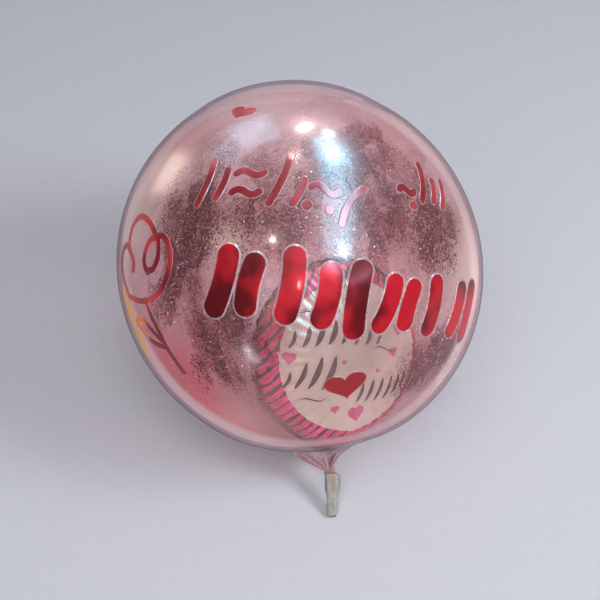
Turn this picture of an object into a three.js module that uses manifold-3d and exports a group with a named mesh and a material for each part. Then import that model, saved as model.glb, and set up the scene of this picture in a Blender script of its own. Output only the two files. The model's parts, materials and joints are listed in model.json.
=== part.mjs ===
// A clear bubble balloon, 480 mm across, lying on a floor: the ball rests on a small flat
// spot and leans on its taped tail. Cut vinyl stickers follow the ball: a row of thin
// strokes, a row of fat bars, two hearts and a line flower.
//
// The balloon is drawn upright, with the crown up (+Z), the neck down and its front towards
// -Y. The whole group is then leant back until the end of the tail touches the floor.
// The origin is on the floor, under the middle of the whole. Units: millimetres, degrees.

import * as THREE from "three";
import { mergeVertices } from "three/addons/utils/BufferGeometryUtils.js";
import Module from "manifold-3d";

// ---- driving dimensions ---------------------------------------------------------------

const ball = { radius: 240, segments: 60, rings: 19 };
const stretch = { along: 125, share: 0.018, fadeFrom: 190, fadeTo: 232 };
const flatDepth = 2;
const setBack = 2.2;
const crown = { tilt: -4.5, halfAngle: 28.5, height: 2.5, shares: [0.25, 0.5, 0.75, 0.92, 1] };
const neck = { tilt: 8.1, flareRadius: 60, gatherRadius: 7, gatherReach: 275 };
const flareCurve = { left: 0.9, right: 1.9 };
const pleats = { count: 10, depth: 0.16, rings: 6 };
const tail = { top: 276, end: 338, x: 43.4, bendX: 39.8, bendLength: 16, halfWidth: 7, halfDepth: 4.6 };
const tailNarrowing = 0.8;
const tape = { top: 277, end: 335, slant: 2, deep: 7, shallow: 6, fit: 0.6 };
const tapeSection = { segments: 20, squareness: 0.8 };
const vinyl = { lift: 0.5, thickness: 0.5, station: 9, widestColumn: 15 };
const tipAngles = [30, 60, 90];

const ballHeight = ball.radius - flatDepth;
const radians = THREE.MathUtils.degToRad;

// ---- materials ------------------------------------------------------------------------

function finish(color, roughness, metalness, opacity = 1) {
  const transparent = opacity < 1;
  return new THREE.MeshStandardMaterial({ color, roughness, metalness, opacity, transparent });
}

const filmFinish = () => finish(0xcfb4bf, 0.08, 0, 0.35);
const tapeFinish = () => finish(0xa9afa4, 0.25, 0, 0.8);
const redFoilFinish = () => finish(0xa81f2c, 0.25, 0.9);
const darkFoilFinish = () => finish(0x8e1724, 0.3, 0.85);

// ---- closed meshes from rings ---------------------------------------------------------

function signedVolume(points, faces) {
  let volume = 0;
  for (const [a, b, c] of faces) {
    volume += points[a].dot(points[b].clone().cross(points[c])) / 6;
  }
  return volume;
}

function toGeometry(points, faces) {
  const outward = signedVolume(points, faces) > 0;
  const geometry = new THREE.BufferGeometry();
  geometry.setFromPoints(points);
  geometry.setIndex(faces.flatMap(([a, b, c]) => (outward ? [a, b, c] : [a, c, b])));
  return geometry;
}

function bandFaces(first, second, count) {
  const faces = [];
  for (let i = 0; i < count; i += 1) {
    const next = (i + 1) % count;
    faces.push([first + i, first + next, second + next]);
    faces.push([first + i, second + next, second + i]);
  }
  return faces;
}

function fanFaces(ring, centre, count, flip) {
  const faces = [];
  for (let i = 0; i < count; i += 1) {
    const next = (i + 1) % count;
    faces.push(flip ? [centre, ring + next, ring + i] : [centre, ring + i, ring + next]);
  }
  return faces;
}

// A skin over a row of rings, closed at each end by a fan to a point.
function loft(rings, startPoint, endPoint) {
  const count = rings[0].length;
  const points = [...rings.flat(), startPoint, endPoint];
  const faces = [];
  for (let i = 0; i + 1 < rings.length; i += 1) {
    faces.push(...bandFaces(i * count, (i + 1) * count, count));
  }
  faces.push(...fanFaces(0, points.length - 2, count, true));
  faces.push(...fanFaces((rings.length - 1) * count, points.length - 1, count, false));
  return toGeometry(points, faces);
}

// A sleeve: the rings run down the outside, up the inside and back to the first.
function sleeve(rings) {
  const count = rings[0].length;
  const faces = [];
  for (let i = 0; i < rings.length; i += 1) {
    const following = (i + 1) % rings.length;
    faces.push(...bandFaces(i * count, following * count, count));
  }
  return toGeometry(rings.flat(), faces);
}

// ---- cutting ----------------------------------------------------------------------------

const wasm = await Module();
wasm.setup();

function toSolid(geometry) {
  const bare = geometry.clone();
  bare.deleteAttribute("normal");
  bare.deleteAttribute("uv");
  const merged = mergeVertices(bare);
  const vertProperties = new Float32Array(merged.attributes.position.array);
  const triVerts = new Uint32Array(merged.index.array);
  return new wasm.Manifold(new wasm.Mesh({ numProp: 3, vertProperties, triVerts }));
}

function fromSolid(solid) {
  const mesh = solid.getMesh();
  const geometry = new THREE.BufferGeometry();
  geometry.setAttribute("position", new THREE.BufferAttribute(mesh.vertProperties, 3));
  geometry.setIndex(new THREE.BufferAttribute(mesh.triVerts, 1));
  return geometry;
}

// ---- the bubble: ball, crown, pleated neck and folded tail --------------------------------

function ringOf(count, pointAt) {
  return Array.from({ length: count }, (_, i) => pointAt((2 * Math.PI * i) / count));
}

// A ring round an axis through the middle of the ball. The axis is tilted from straight up,
// towards +X, and the ring lies at a height along it.
function axisRing(tilt, height, radiusAt) {
  const up = new THREE.Vector3(Math.sin(radians(tilt)), 0, Math.cos(radians(tilt)));
  const side = new THREE.Vector3(Math.cos(radians(tilt)), 0, -Math.sin(radians(tilt)));
  return ringOf(ball.segments, (angle) => {
    const radius = radiusAt(angle);
    const point = up.clone().multiplyScalar(height);
    point.addScaledVector(side, radius * Math.cos(angle));
    point.y = radius * Math.sin(angle);
    return point;
  });
}

// The crown's cap stands proud of the ball and drops quickly at its rim.
function crownHeight(share) {
  return crown.height * (1 - share ** 4);
}

// The blown ball isn't quite round: seen from the front it is drawn out along a slanted line
// and pressed in across it, less and less towards the neck.
function outOfRound(point) {
  const angle = Math.atan2(point.z, point.x) - radians(stretch.along);
  const facing = (point.x ** 2 + point.z ** 2) / point.lengthSq();
  const fade = 1 - THREE.MathUtils.smoothstep(-point.z, stretch.fadeFrom, stretch.fadeTo);
  return point.multiplyScalar(1 + stretch.share * Math.cos(2 * angle) * facing * fade);
}

function polarRing(tilt, polar, distance) {
  const radius = distance * Math.sin(polar);
  return axisRing(tilt, distance * Math.cos(polar), () => radius);
}

function crownRings() {
  const halfAngle = radians(crown.halfAngle);
  return crown.shares.map((share) => (
    polarRing(crown.tilt, share * halfAngle, ball.radius + crownHeight(share))));
}

// The rings below the crown turn, little by little, from the crown's axis to the neck's.
function ballRings() {
  const first = radians(crown.halfAngle);
  const last = Math.PI - Math.asin(neck.flareRadius / ball.radius);
  return Array.from({ length: ball.rings }, (_, i) => {
    const share = (i + 1) / ball.rings;
    const tilt = THREE.MathUtils.lerp(crown.tilt, -neck.tilt, share);
    return polarRing(tilt, THREE.MathUtils.lerp(first, last, share), ball.radius);
  });
}

function pleated(radius, depth, angle) {
  return radius * (1 + depth * Math.cos(pleats.count * angle));
}

// The flare's flank is straight on the left and hollow on the right.
function flareRadius(share, angle) {
  const side = (1 + Math.cos(angle)) / 2;
  const curve = THREE.MathUtils.lerp(flareCurve.left, flareCurve.right, side);
  return neck.gatherRadius + (neck.flareRadius - neck.gatherRadius) * (1 - share) ** curve;
}

function flareRings() {
  const base = Math.sqrt(ball.radius ** 2 - neck.flareRadius ** 2);
  return Array.from({ length: pleats.rings }, (_, i) => {
    const share = (i + 1) / pleats.rings;
    const reach = THREE.MathUtils.lerp(base, neck.gatherReach, share);
    const depth = pleats.depth * share;
    return axisRing(-neck.tilt, -reach, (angle) => pleated(flareRadius(share, angle), depth, angle));
  });
}

// An oval section of the folded tail, at a depth below the middle of the ball. It is level
// unless slanted, and stands off the tail by a gap.
function tailRing(count, depth, gap = 0, slant = 0) {
  const scale = THREE.MathUtils.mapLinear(depth, tail.top, tail.end, 1, tailNarrowing);
  const bend = Math.min(1, (depth - tail.top) / tail.bendLength);
  const middle = THREE.MathUtils.lerp(tail.bendX, tail.x, bend);
  return ringOf(count, (angle) => new THREE.Vector3(
    middle + (tail.halfWidth * scale + gap) * Math.cos(angle),
    (tail.halfDepth * scale + gap) * Math.sin(angle),
    slant * Math.cos(angle) - depth,
  ));
}

function coreRings() {
  const depths = [tail.top, 281, 289, 300, 312, 325, tail.end];
  return depths.map((depth) => tailRing(ball.segments, depth));
}

function bubbleGeometry() {
  const rings = [...crownRings(), ...ballRings(), ...flareRings(), ...coreRings()];
  rings.forEach((ring) => ring.forEach(outOfRound));
  const [crownPoint] = axisRing(crown.tilt, ball.radius + crown.height, () => 0).map(outOfRound);
  const tailPoint = new THREE.Vector3(tail.x, 0, -tail.end);
  return loft(rings, crownPoint, tailPoint);
}

// ---- the tape round the tail ---------------------------------------------------------------

const tapeShape = [
  { depth: tape.top, left: 8.6, right: 8.6, x: 40.8 },
  { depth: 281.5, left: 10.4, right: 11, x: 43.4 },
  { depth: 290, left: 10.8, right: 11.2, x: 44 },
  { depth: 300, left: 10.3, right: 9.8, x: 43.8 },
  { depth: 309, left: 8.2, right: 8.3, x: 43.7 },
  { depth: 320, left: 7.9, right: 7.9, x: 43.7 },
  { depth: tape.end, left: 7.5, right: 7.6, x: 43.6, slant: tape.slant },
];

function softSquare(value) {
  return Math.sign(value) * Math.abs(value) ** tapeSection.squareness;
}

// Wound tape is a soft box in section, not an oval. Its end is cut on the slant.
function tapeOutside({ depth, left, right, x, slant = 0 }) {
  const halfDepth = THREE.MathUtils.mapLinear(depth, tape.top, tape.end, tape.deep, tape.shallow);
  return ringOf(tapeSection.segments, (angle) => {
    const cos = Math.cos(angle);
    const across = softSquare(cos) * (cos > 0 ? right : left);
    const along = softSquare(Math.sin(angle)) * halfDepth;
    return new THREE.Vector3(x + across, along, slant * cos - depth);
  });
}

function tapeInside({ depth, slant }) {
  return tailRing(tapeSection.segments, depth, tape.fit, slant);
}

function tapeGeometry() {
  const outside = tapeShape.map(tapeOutside);
  const inside = tapeShape.toReversed().map(tapeInside);
  return sleeve([...outside, ...inside]);
}

// ---- stickers ------------------------------------------------------------------------------

// A sticker is drawn flat, x to the right and y up in millimetres, and then laid on the ball
// at a longitude (from the front, towards +X) and latitude, turned counter-clockwise.
class Patch {
  constructor(longitude, latitude, turn) {
    const lon = radians(longitude);
    const lat = radians(latitude);
    const east = new THREE.Vector3(Math.cos(lon), Math.sin(lon), 0);
    this.out = new THREE.Vector3(
      Math.cos(lat) * Math.sin(lon), -Math.cos(lat) * Math.cos(lon), Math.sin(lat));
    const north = this.out.clone().cross(east);
    this.right = east.clone().applyAxisAngle(this.out, radians(turn));
    this.up = north.applyAxisAngle(this.out, radians(turn));
  }

  // The distance from the middle of the patch is kept as an arc on the ball.
  lay(x, y, lift) {
    const distance = Math.hypot(x, y);
    const angle = distance / ball.radius;
    const along = this.right.clone().multiplyScalar(x).addScaledVector(this.up, y);
    along.multiplyScalar(distance > 0 ? Math.sin(angle) / distance : 0);
    along.addScaledVector(this.out, Math.cos(angle));
    return outOfRound(along.multiplyScalar(ball.radius + lift));
  }
}

const under = vinyl.lift;
const over = vinyl.lift + vinyl.thickness;
const midway = (under + over) / 2;

// Stations along a stroke: how far along it lies and how wide the stroke is there.
function strokeStations(length, width) {
  const tip = width / 2;
  const rounded = tipAngles.map((degrees) => ({
    along: tip * (1 - Math.cos(radians(degrees))),
    half: tip * Math.sin(radians(degrees)),
  }));
  const steps = Math.max(1, Math.round((length - width) / vinyl.station));
  const straight = Array.from({ length: steps - 1 }, (_, i) => ({
    along: tip + ((length - width) * (i + 1)) / steps,
    half: tip,
  }));
  const far = rounded.map(({ along, half }) => ({ along: length - along, half })).reverse();
  return [...rounded, ...straight, ...far];
}

// A flat stroke of one width with round tips, along a curve in the patch's plane.
function strokeGeometry(patch, curve, width) {
  const length = curve.getLength();
  const columns = Math.ceil(width / vinyl.widestColumn);
  const section = ({ along, half }) => {
    const centre = curve.getPointAt(along / length);
    const tangent = curve.getTangentAt(along / length);
    const across = (i) => {
      const offset = half * ((2 * i) / columns - 1);
      return [centre.x - tangent.y * offset, centre.y + tangent.x * offset];
    };
    const places = Array.from({ length: columns + 1 }, (_, i) => across(i));
    const below = places.map(([x, y]) => patch.lay(x, y, under));
    const above = places.toReversed().map(([x, y]) => patch.lay(x, y, over));
    return [...below, ...above];
  };
  const start = curve.getPointAt(0);
  const end = curve.getPointAt(1);
  const rings = strokeStations(length, width).map(section);
  return loft(rings, patch.lay(start.x, start.y, midway), patch.lay(end.x, end.y, midway));
}

// A filled outline, seen from its own middle. A ring half way in keeps it on the ball.
function filledGeometry(patch, outline, x = 0, y = 0) {
  const ring = (scale, lift) => (
    outline.map(([u, v]) => patch.lay(x + scale * u, y + scale * v, lift)));
  const rings = [ring(0.5, under), ring(1, under), ring(1, over), ring(0.5, over)];
  return loft(rings, patch.lay(x, y, under), patch.lay(x, y, over));
}

// Strokes that run into one another, cut from the same piece of vinyl.
function joinedGeometry(patch, curves, width) {
  const solids = curves.map((curve) => toSolid(strokeGeometry(patch, curve, width)));
  return fromSolid(wasm.Manifold.union(solids));
}

function curveThrough(...places) {
  const points = places.map(([x, y]) => new THREE.Vector3(x, y, 0));
  return new THREE.CatmullRomCurve3(points, false, "centripetal");
}

// A slanted stroke: lean is from upright towards +X, bow is how far its middle bends out.
function slash(x, y, length, lean, bow) {
  const up = new THREE.Vector2(Math.sin(radians(lean)), Math.cos(radians(lean)));
  const places = [-0.5, -0.25, 0, 0.25, 0.5].map((share) => {
    const side = bow * (1 - 4 * share ** 2);
    return [x + up.x * length * share + up.y * side, y + up.y * length * share - up.x * side];
  });
  return curveThrough(...places);
}

// A lying wave: one crest and one trough.
function wave(x, y, length, height, lean, steps = 8) {
  const places = Array.from({ length: steps + 1 }, (_, i) => {
    const share = i / steps - 0.5;
    const rise = height * Math.sin(2 * Math.PI * share);
    return [x + length * share, y - rise + length * share * Math.tan(radians(lean))];
  });
  return curveThrough(...places);
}

function roundOutline(radius, count = 12) {
  return Array.from({ length: count }, (_, i) => {
    const angle = (2 * Math.PI * i) / count;
    return [radius * Math.cos(angle), radius * Math.sin(angle)];
  });
}

// A plump heart, fitted to a width and a height. The plain curve is 32 wide and 29 high, and
// its middle lies 2.5 below its start.
function heartOutline(width, height, count = 28) {
  return Array.from({ length: count }, (_, i) => {
    const angle = (2 * Math.PI * i) / count;
    const x = 16 * Math.sin(angle) ** 3;
    const y = 13 * Math.cos(angle) - 5 * Math.cos(2 * angle) - 2 * Math.cos(3 * angle)
      - Math.cos(4 * angle);
    return [(x * width) / 32, ((y + 2.5) * height) / 29];
  });
}

const scriptWidth = 8.5;
const scriptRows = [
  {
    patch: new Patch(-6.5, 29.5, -3),
    strokes: {
      slash_1: slash(-90, 4, 64, 16, 4),
      slash_2: slash(-68, 0, 44, 18, 3),
      wave_1: wave(-34, 12, 38, 5, 10),
      wave_2: wave(-37, -12, 38, 5, 10),
      slash_3: slash(0, 8, 76, 16, 4),
      slash_4: slash(22, -8, 40, 18, 3),
      wave_3: wave(53, -2, 40, 6, 8),
      slash_5: slash(88, -16, 62, 24, -7),
    },
    dots: { dot_1: [34, -24, 6], dot_2: [60, -26, 5.5] },
  },
  {
    patch: new Patch(43, 28.5, -7),
    strokes: {
      wave_4: wave(-27, -8, 26, 5, 8),
      slash_6: slash(0, 6, 60, 15, 4),
      slash_7: slash(17, -4, 38, 16, 3),
      slash_8: slash(34, -6, 46, 18, 3),
    },
    dots: { dot_3: [-22, -27, 5.5] },
  },
];

const barRows = [
  {
    patch: new Patch(-12.3, 2.3, 0),
    width: 26,
    strokes: {
      bar_1: slash(-42, 0, 88, 17, 5),
      bar_2: slash(-3, -4, 74, 13, -4),
      bar_3: slash(38, -3, 90, 9, 5),
    },
  },
  {
    patch: new Patch(11.5, -1.8, 0),
    width: 26,
    strokes: { bar_4: slash(-21, 2, 76, 12, 5), bar_5: slash(20, -4, 92, 8, -4) },
  },
  {
    patch: new Patch(32.3, -4.3, -4),
    width: 22,
    strokes: {
      bar_6: slash(-34, -1, 72, 16, 4),
      bar_7: slash(-1, -3, 62, 12, -3),
      bar_8: slash(32, -4, 74, 8, 4),
    },
  },
  {
    patch: new Patch(55.8, -8.4, -6),
    width: 22,
    strokes: { bar_9: slash(-18, 0, 70, 12, 4), bar_10: slash(16, -3, 78, 6, -3) },
  },
];

const hearts = {
  heart_top: { patch: new Patch(-29.8, 54.8, -8), width: 34, height: 26 },
  heart_front: { patch: new Patch(14.5, -28.7, 14), width: 50, height: 37 },
};

// A line flower: a cup with a thin petal on its left, a petal over the top and a loop within,
// on a bent stem with one leaf.
const flowerWidth = 7.6;
const flowerPatch = new Patch(-52, -7, -4);
const flowerCurves = [
  curveThrough([-39, 62], [-43, 78], [-39, 94], [-23, 105], [0, 101], [14, 92], [22, 85]),
  curveThrough([24, 87], [10, 80], [3, 66], [3, 52], [12, 43], [17, 44]),
  curveThrough([10, 44], [22, 48], [29, 62], [28, 76], [20, 88]),
  curveThrough(
    [20, 87], [33, 88], [45, 79], [51, 65], [50, 49], [42, 31], [30, 18], [6, 7], [-16, 4], [-38, 4]),
  curveThrough(
    [-36, 2], [-49, 15], [-61, 29], [-65, 46], [-61, 59], [-51, 66], [-36, 61], [-23, 49], [-25, 36]),
  curveThrough([6, 8], [13, -7], [23, -25], [33, -47], [43, -67], [51, -83]),
  curveThrough([34, -48], [9, -47], [-9, -39], [-29, -26]),
  curveThrough([-29, -29], [-22, -23], [-6, -21], [11, -30], [28, -41]),
];

// ---- assembly --------------------------------------------------------------------------------

// The lean at which a point of the tail just touches the floor.
function leanToTouch(point) {
  const reach = Math.hypot(point.y, point.z);
  return Math.atan2(point.y, -point.z) + Math.acos(ballHeight / reach);
}

const tailPoints = [...tailRing(ball.segments, tail.end), ...tapeOutside(tapeShape.at(-1))];
const lean = Math.max(...tailPoints.map(leanToTouch));

const balloon = new THREE.Group();
balloon.rotation.x = -lean;
balloon.position.set(0, setBack, ballHeight);

function add(name, geometry, material) {
  const mesh = new THREE.Mesh(geometry, material);
  mesh.name = name;
  balloon.add(mesh);
}

// The floor trims a flat spot on the ball.
function withFlatSpot(geometry) {
  const size = 2 * ball.radius;
  const floor = new THREE.BoxGeometry(size, size, size);
  floor.translate(0, 0, -size / 2 - ballHeight);
  floor.rotateX(lean);
  return fromSolid(toSolid(geometry).subtract(toSolid(floor)));
}

add("bubble", withFlatSpot(bubbleGeometry()), filmFinish());
add("neck_tape", tapeGeometry(), tapeFinish());
for (const { patch, strokes, dots } of scriptRows) {
  for (const [name, curve] of Object.entries(strokes)) {
    add(`script_${name}`, strokeGeometry(patch, curve, scriptWidth), redFoilFinish());
  }
  for (const [name, [x, y, radius]] of Object.entries(dots)) {
    add(`script_${name}`, filledGeometry(patch, roundOutline(radius), x, y), redFoilFinish());
  }
}
for (const { patch, width, strokes } of barRows) {
  for (const [name, curve] of Object.entries(strokes)) {
    add(name, strokeGeometry(patch, curve, width), redFoilFinish());
  }
}
for (const [name, { patch, width, height }] of Object.entries(hearts)) {
  add(name, filledGeometry(patch, heartOutline(width, height)), darkFoilFinish());
}
add("flower", joinedGeometry(flowerPatch, flowerCurves, flowerWidth), darkFoilFinish());

export default balloon;
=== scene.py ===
"""A clear bubble balloon lying on a pale floor, leaning on its taped tail.

The balloon is drawn upright in millimetres, as its makers think of it: the middle of the
ball is the origin, the crown is up (+Z), the neck down and the front towards -Y. STAND
turns that drawing into the frame's metres, leant back until the tail touches the floor.
"""

import json
import math
from collections import Counter

import bmesh
import bpy
import numpy as np
from mathutils import Matrix, Vector, noise


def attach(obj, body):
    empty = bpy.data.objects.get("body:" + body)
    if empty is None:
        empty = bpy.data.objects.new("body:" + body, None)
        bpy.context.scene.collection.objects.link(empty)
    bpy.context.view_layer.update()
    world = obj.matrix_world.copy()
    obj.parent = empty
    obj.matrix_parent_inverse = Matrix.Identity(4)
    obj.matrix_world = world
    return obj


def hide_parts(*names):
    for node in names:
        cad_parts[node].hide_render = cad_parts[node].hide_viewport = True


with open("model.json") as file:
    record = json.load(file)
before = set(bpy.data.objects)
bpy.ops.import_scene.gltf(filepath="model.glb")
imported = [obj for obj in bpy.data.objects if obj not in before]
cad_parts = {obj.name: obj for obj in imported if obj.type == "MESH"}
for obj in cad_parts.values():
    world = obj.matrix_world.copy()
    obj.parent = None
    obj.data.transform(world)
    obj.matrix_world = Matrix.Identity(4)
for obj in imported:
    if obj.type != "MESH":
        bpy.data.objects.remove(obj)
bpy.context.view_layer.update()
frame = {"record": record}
mounts = {mount["name"]: mount for mount in frame["record"]["mounts"]}

# ---- sizes, in millimetres and degrees --------------------

MM = 0.001
BALL_RADIUS = 240.0
STRETCH_ALONG = 125.0
STRETCH_SHARE = 0.018
STRETCH_FADE = (190.0, 232.0)
FLAT_DEPTH = 2.0
CROWN_TILT = -4.5
CROWN_HALF_ANGLE = 28.5
CROWN_HEIGHT = 2.5
NECK_TILT = 8.1
FLARE_RADIUS = 60.0
GATHER_RADIUS = 7.0
GATHER_REACH = 275.0
FLARE_CURVES = (0.9, 1.9)
TAIL_TOP = 276.0
TAIL_END = 338.0
TAIL_X = 43.4
TAIL_BEND_X = 39.8
TAIL_BEND_LENGTH = 16.0
TAIL_HALF = (7.0, 4.6)
TAIL_NARROWING = 0.8

DISC_RADIUS = 120.0
DISC_PLACE = (48.0, 0.0, -110.0)
DISC_YAW = 26.0
DISC_BULGE = 58.0
DISC_TIP = 148.0
DISC_NECK = 160.0
SEAM_WIDTH = 4.0
PANEL_RADIUS = 99.0

neck_axis = Vector(mounts["tail_end"]["axis"])
LEAN = math.atan2(-neck_axis.y, -neck_axis.z)
FLAT_PLACE = Vector(mounts["resting_flat"]["pos_m"])
BALL_MIDDLE = FLAT_PLACE + Vector((0, 0, BALL_RADIUS - FLAT_DEPTH)) * MM
STAND = Matrix.Translation(BALL_MIDDLE) @ Matrix.Rotation(-LEAN, 4, "X") @ Matrix.Scale(MM, 4)


def lerp(a, b, share):
    return a + (b - a) * share


def smooth(low, high, value):
    """0 at low, 1 at high and smooth between; low may be the larger one."""
    share = np.clip((value - low) / (high - low), 0.0, 1.0)
    return share * share * (3 - 2 * share)


def round_angles(count):
    return np.linspace(0, 2 * np.pi, count, endpoint=False)


def direction(longitude, latitude):
    """The way out from the middle of the ball; longitude 0 is the front, +90 is right."""
    lon, lat = math.radians(longitude), math.radians(latitude)
    across = math.cos(lat)
    return np.array([across * math.sin(lon), -across * math.cos(lon), math.sin(lat)])


def leaning(tilt):
    """Straight up, tilted towards +X."""
    return np.array([math.sin(math.radians(tilt)), 0, math.cos(math.radians(tilt))])


def placed(name, data):
    thing = bpy.data.objects.new(name, data)
    bpy.context.scene.collection.objects.link(thing)
    return thing


# ---- materials --------------------


class Value:
    """A number that changes over a surface. Sums and products of values become nodes."""

    def __init__(self, paint, socket):
        self.paint = paint
        self.socket = socket

    def math(self, operation, *inputs, clamp=False):
        settings = {"operation": operation, "use_clamp": clamp}
        return self.paint.node("Math", settings, dict(enumerate(inputs)))

    def __add__(self, other):
        return self.math("ADD", self, other)

    def __radd__(self, other):
        return self.math("ADD", other, self)

    def __sub__(self, other):
        return self.math("SUBTRACT", self, other)

    def __rsub__(self, other):
        return self.math("SUBTRACT", other, self)

    def __mul__(self, other):
        return self.math("MULTIPLY", self, other)

    def __rmul__(self, other):
        return self.math("MULTIPLY", other, self)

    def highest(self, other):
        return self.math("MAXIMUM", self, other)

    def clamped(self):
        return self.math("ADD", self, 0.0, clamp=True)

    def ramp(self, low, high):
        """0 below low, 1 above high and smooth between; low may be the larger one."""
        settings = {"interpolation_type": "SMOOTHSTEP"}
        sockets = {"Value": self, "From Min": low, "From Max": high}
        return self.paint.node("MapRange", settings, sockets)


class Paint:
    """A material and the nodes that make it."""

    def __init__(self, name):
        self.material = bpy.data.materials.new(name)
        self.material.use_nodes = True
        self.tree = self.material.node_tree
        self.tree.nodes.clear()

    def node(self, kind, settings=None, sockets=None, output=0):
        """Adds a node, sets it up, feeds its sockets and returns one of its outputs."""
        node = self.tree.nodes.new("ShaderNode" + kind)
        for name, setting in (settings or {}).items():
            setattr(node, name, setting)
        for name, given in (sockets or {}).items():
            socket = node.inputs[name]
            if isinstance(given, Value):
                self.tree.links.new(given.socket, socket)
            else:
                socket.default_value = given
        return Value(self, node.outputs[output])

    def place(self):
        return self.node("TexCoord", output="Object")

    def attribute(self, name, output="Fac"):
        return self.node("Attribute", {"attribute_name": name}, output=output)

    def stretched(self, vector, scale):
        return self.node("Mapping", None, {"Vector": vector, "Scale": scale})

    def noise(self, vector, scale, detail=2.0, roughness=0.5, distortion=0.0):
        sockets = {
            "Vector": vector,
            "Scale": scale,
            "Detail": detail,
            "Roughness": roughness,
            "Distortion": distortion,
        }
        return self.node("TexNoise", None, sockets)

    def cells(self, vector, scale, output="Distance"):
        """The distance from the middle of each grain, or with "Color" a random number."""
        return self.node("TexVoronoi", None, {"Vector": vector, "Scale": scale}, output)

    def reflection_panes(self, vector, scale):
        """Random numbers in patches with fairly straight sides."""
        sockets = {"Vector": vector, "Scale": scale, "Randomness": 0.85}
        return self.node("TexVoronoi", {"distance": "CHEBYCHEV"}, sockets, "Color")

    def facing(self):
        """0 where the surface faces the eye and 1 at the edge of a round thing."""
        return self.node("LayerWeight", None, {"Blend": 0.5}, "Facing")

    def blend(self, factor, first, second):
        sockets = {0: factor, 6: first, 7: second}
        return self.node("Mix", {"data_type": "RGBA"}, sockets, 2)

    def coats(self, color, layers):
        """Lays colours over the first one, each by its own share."""
        for share, tone in layers:
            color = self.blend(share, color, tone)
        return color

    def part_of(self, vector, axis):
        return self.node("SeparateXYZ", None, {"Vector": vector}, axis)

    def bump(self, height, distance, strength):
        sockets = {"Height": height, "Distance": distance, "Strength": strength}
        return self.node("Bump", None, sockets)

    def gloss(self, **sockets):
        named = {name.replace("_", " "): given for name, given in sockets.items()}
        return self.node("BsdfPrincipled", None, named)

    def clear(self, color):
        return self.node("BsdfTransparent", None, {"Color": color})

    def layered(self, factor, below, above):
        return self.node("MixShader", None, {0: factor, 1: below, 2: above})

    def done(self, shader):
        out = self.tree.nodes.new("ShaderNodeOutputMaterial")
        self.tree.links.new(shader.socket, out.inputs["Surface"])
        return self.material


BARE_COVER = 0.17


def film_finish():
    """Clear film, glossy outside and dusted inside with fine mauve glitter, with painted
    reflections, painted shade at its edge, crease and folds, and painted glints on the flecks.
    """
    paint = Paint("clear film")
    place = paint.place()
    drawn = paint.attribute("drawn_place", "Vector")
    clouds = paint.noise(drawn, 4.0, 4.0, 0.62, 0.3)
    density = dust_density(paint, drawn, clouds)
    specks = paint.cells(place, 680.0, "Color")
    grains = (specks + density * 0.55).ramp(0.82, 0.92)
    # The glitter flecks are real, but their near-white colour is a painted glint.
    flecks = paint.cells(place, 95.0).ramp(0.1, 0.06)
    small_flecks = paint.cells(place, 190.0).ramp(0.1, 0.06)
    sparkle = flecks.highest(small_flecks) * clouds.ramp(0.44, 0.56)
    edge = paint.facing()
    # Painted reflection and shade: the pale band inside the edge is a painted reflection, and the
    # mauve band at the very edge is painted shade.
    pale = edge.ramp(0.6, 0.68) * edge.ramp(0.8, 0.75)
    limb_shade = edge.ramp(0.76, 0.82)
    blush = paint.attribute("blush")
    # Painted reflections: the cream clouds and the orange patch by the flower are reflections
    # painted into the film's colour.
    cream = paint.attribute("cream_reflection")
    amber_reflection = paint.attribute("amber_reflection").ramp(0.35, 0.6)
    cap = paint.attribute("crown_cap")
    # Painted shade: a dark outline where the film turns away at its edge, and the dark crease at
    # the back of the crown.
    outline = edge.ramp(0.83, 0.89) * paint.attribute("above_tail") * (1 - 0.5 * cap)
    lines = outline.highest(paint.attribute("crown_crease_shade"))
    # Painted shade in the neck's folds: dark grey lines along the pleats.
    folds = paint.attribute("pleat_shade")
    # The dust is paler where thin and plum where thick; these tones partly stand for painted
    # reflections.
    dust = paint.blend(density.ramp(0.15, 0.6), (0.82, 0.5, 0.49, 1), (0.36, 0.14, 0.13, 1))
    layers = [
        (cream, (0.9, 0.66, 0.6, 1)),
        (blush, (0.84, 0.14, 0.18, 1)),
        (grains * density.ramp(0.0, 0.4), (0.115, 0.037, 0.045, 1)),
        (pale * 0.75, (0.88, 0.68, 0.67, 1)),
        (limb_shade, (0.48, 0.25, 0.3, 1)),
        (amber_reflection, (1.0, 0.5, 0.1, 1)),
        (cap, (0.46, 0.45, 0.88, 1)),
        (lines, (0.07, 0.035, 0.05, 1)),
        (folds, (0.24, 0.19, 0.22, 1)),
        (sparkle, (0.97, 0.92, 0.93, 1)),
    ]
    dusted = BARE_COVER + 0.34 * density + 0.42 * grains * density + 0.8 * sparkle
    tinted = dusted + 0.5 * blush + 0.4 * cream + 0.6 * amber_reflection + 0.35 * cap
    cover = tinted + 0.3 * pale + 0.3 * limb_shade + 0.6 * lines + 0.45 * folds
    skin = paint.gloss(
        Base_Color=paint.coats(dust, layers),
        Metallic=0.1,
        Roughness=0.3,
        Specular_IOR_Level=0.25,
        Coat_Weight=cover.math("DIVIDE", BARE_COVER, cover, clamp=True),
        Coat_Roughness=0.12,
        Coat_IOR=1.6,
        Normal=paint.bump(clouds, 0.0012, 0.3),
    )
    return paint.done(paint.layered(cover.clamped(), paint.clear((0.98, 0.76, 0.79, 1)), skin))


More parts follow.
